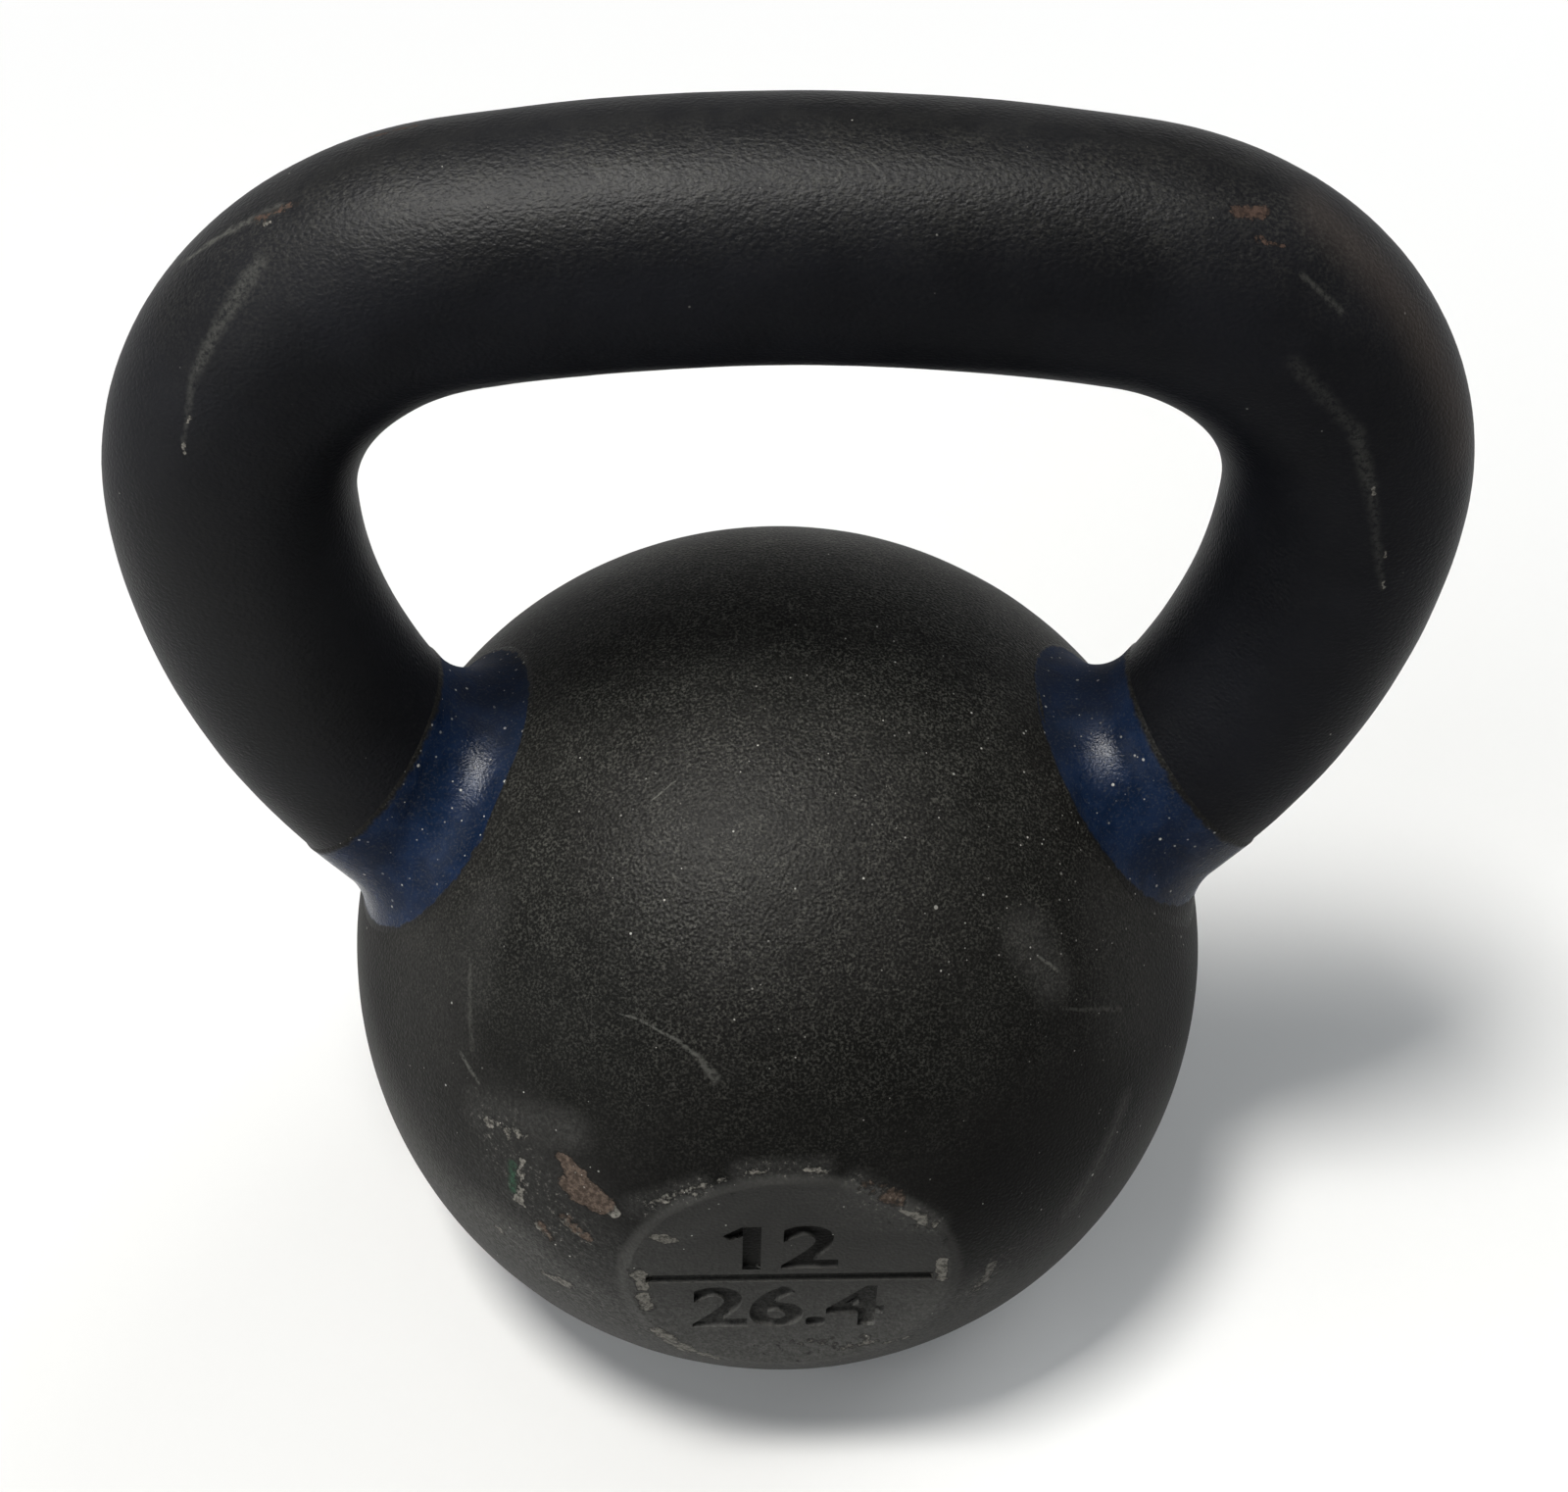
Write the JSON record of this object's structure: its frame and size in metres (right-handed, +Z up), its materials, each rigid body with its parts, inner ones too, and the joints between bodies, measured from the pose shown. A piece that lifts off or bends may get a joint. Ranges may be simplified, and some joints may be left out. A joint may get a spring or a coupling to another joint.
{
  "type": "kettlebell",
  "caption": "Iron kettlebell: ball with a flat base and a flat for the weight mark, a bent round bar handle, and blue bands at the horn roots.",
  "frame": {"origin": "centre of the flat base, on the surface that the bell stands on, under the ball's centre", "axes": "+Z up; the handle lies in the XZ plane, with its grip along X; the flat with the weight mark faces -Y"},
  "size_m": [0.1898, 0.1342, 0.214],
  "materials": {
    "black_powder_coat": "matt, finely textured black powder coat, chipped and dusty",
    "blue_enamel": "semi-gloss blue enamel, worn at the edges"
  },
  "bodies": {
    "root": {"ball": "black_powder_coat", "handle": "black_powder_coat", "left_colour_band": "blue_enamel", "right_colour_band": "blue_enamel"}
  },
  "joints": []
}
